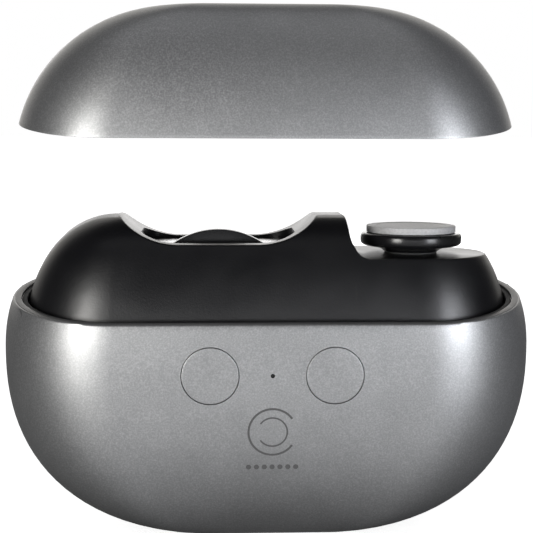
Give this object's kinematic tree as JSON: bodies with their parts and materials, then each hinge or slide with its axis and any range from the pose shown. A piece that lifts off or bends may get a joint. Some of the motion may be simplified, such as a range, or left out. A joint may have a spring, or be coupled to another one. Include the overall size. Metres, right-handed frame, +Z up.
{
  "type": "pocket rotary shaver",
  "caption": "Pebble-shaped pocket shaver: painted pod with a lift-off lid, a rotary wheel in a saddle, a spinning finishing disc on a shelf, and flush front buttons.",
  "frame": {"origin": "on the surface the pod stands on, under the middle of its foot", "axes": "+Z up, -Y towards the user (the buttons' side), +X to the user's right"},
  "size_m": [0.1096, 0.0442, 0.109],
  "materials": {
    "silver_paint": "fine metallic flake paint, satin",
    "ring_trim": "dark grey satin plastic",
    "deck_plastic": "satin black plastic",
    "gloss_black": "satin-gloss black",
    "grey_pad": "light grey, matt",
    "rubber": "soft dark rubber",
    "steel": "bright steel",
    "bronze": "sintered bronze",
    "frame_plastic": "grey moulded plastic",
    "acetal": "natural acetal",
    "circuit_board": "green solder mask",
    "cell_wrap": "shrink wrap",
    "light_pipe": "smoked clear plastic"
  },
  "bodies": {
    "pod": {"base_shell": "silver_paint", "rim_ring": "ring_trim", "rim_gasket": "rubber", "base_foot": "rubber", "deck_housing": "deck_plastic", "wheel_tray": "steel", "shaving_foil": "steel", "spindle_bush": "bronze", "spindle_seal": "rubber", "left_switch": "steel", "right_switch": "steel", "button_board": "circuit_board", "status_light": "light_pipe", "front_plate": "frame_plastic", "rear_plate": "frame_plastic", "front_bush": "bronze", "rear_bush": "bronze", "idler_pin": "steel", "frame_pillar_1": "steel", "frame_pillar_2": "steel", "frame_pillar_3": "steel", "frame_pillar_4": "steel", "frame_screw_1": "steel", "frame_screw_2": "steel", "frame_screw_3": "steel", "frame_screw_4": "steel", "wheel_motor": "steel", "wheel_motor_cap": "frame_plastic", "head_motor": "steel", "head_motor_cap": "frame_plastic", "head_motor_cup": "frame_plastic", "battery_cradle": "frame_plastic", "battery_cell": "cell_wrap", "main_board": "circuit_board", "charge_socket": "steel", "casing_screw_left": "steel", "casing_screw_right": "steel"},
    "lid": {"lid_shell": "silver_paint"},
    "left_button_body": {"left_button": "silver_paint"},
    "right_button_body": {"right_button": "silver_paint"},
    "wheel": {"guide_disc": "gloss_black", "cutter_ring": "steel", "wheel_hub": "deck_plastic", "wheel_axle": "steel", "wheel_gear": "acetal"},
    "idler": {"idler_gear": "acetal"},
    "wheel_drive": {"motor_pinion": "bronze", "wheel_motor_shaft": "steel"},
    "finishing_head": {"head_pad": "grey_pad", "head_collar": "gloss_black", "head_spindle": "steel", "head_coupler": "bronze", "head_motor_shaft": "steel"}
  },
  "joints": [
    {"name": "lid_lift", "type": "slide", "parent": "pod", "child": "lid", "axis": [-0.0112, 0, 0.9999], "range_m": [-0.03575, 0]},
    {"name": "left_button_press", "type": "slide", "parent": "pod", "child": "left_button_body", "axis": [0, 1, 0], "range_m": [0, 0.0006], "stiffness_N_per_m": 1500},
    {"name": "right_button_press", "type": "slide", "parent": "pod", "child": "right_button_body", "axis": [0, 1, 0], "range_m": [0, 0.0006], "stiffness_N_per_m": 1500},
    {"name": "wheel_spin", "type": "hinge", "parent": "pod", "child": "wheel", "pos_m": [-0.0105, 0, 0.0472], "axis": [0, 1, 0], "continuous": true},
    {"name": "idler_spin", "type": "hinge", "parent": "pod", "child": "idler", "pos_m": [-0.01622, 0, 0.0314], "axis": [0, 1, 0], "continuous": true},
    {"name": "wheel_drive_spin", "type": "hinge", "parent": "pod", "child": "wheel_drive", "pos_m": [-0.0105, 0, 0.0226], "axis": [0, 1, 0], "continuous": true},
    {"name": "head_spin", "type": "hinge", "parent": "pod", "child": "finishing_head", "pos_m": [0.0302, 0, 0.062], "axis": [0, 0, 1], "continuous": true}
  ],
  "couplings": [
    {"joint": "idler_spin", "follows": "wheel_spin", "ratio": -1.4},
    {"joint": "wheel_drive_spin", "follows": "wheel_spin", "ratio": 2.8}
  ]
}
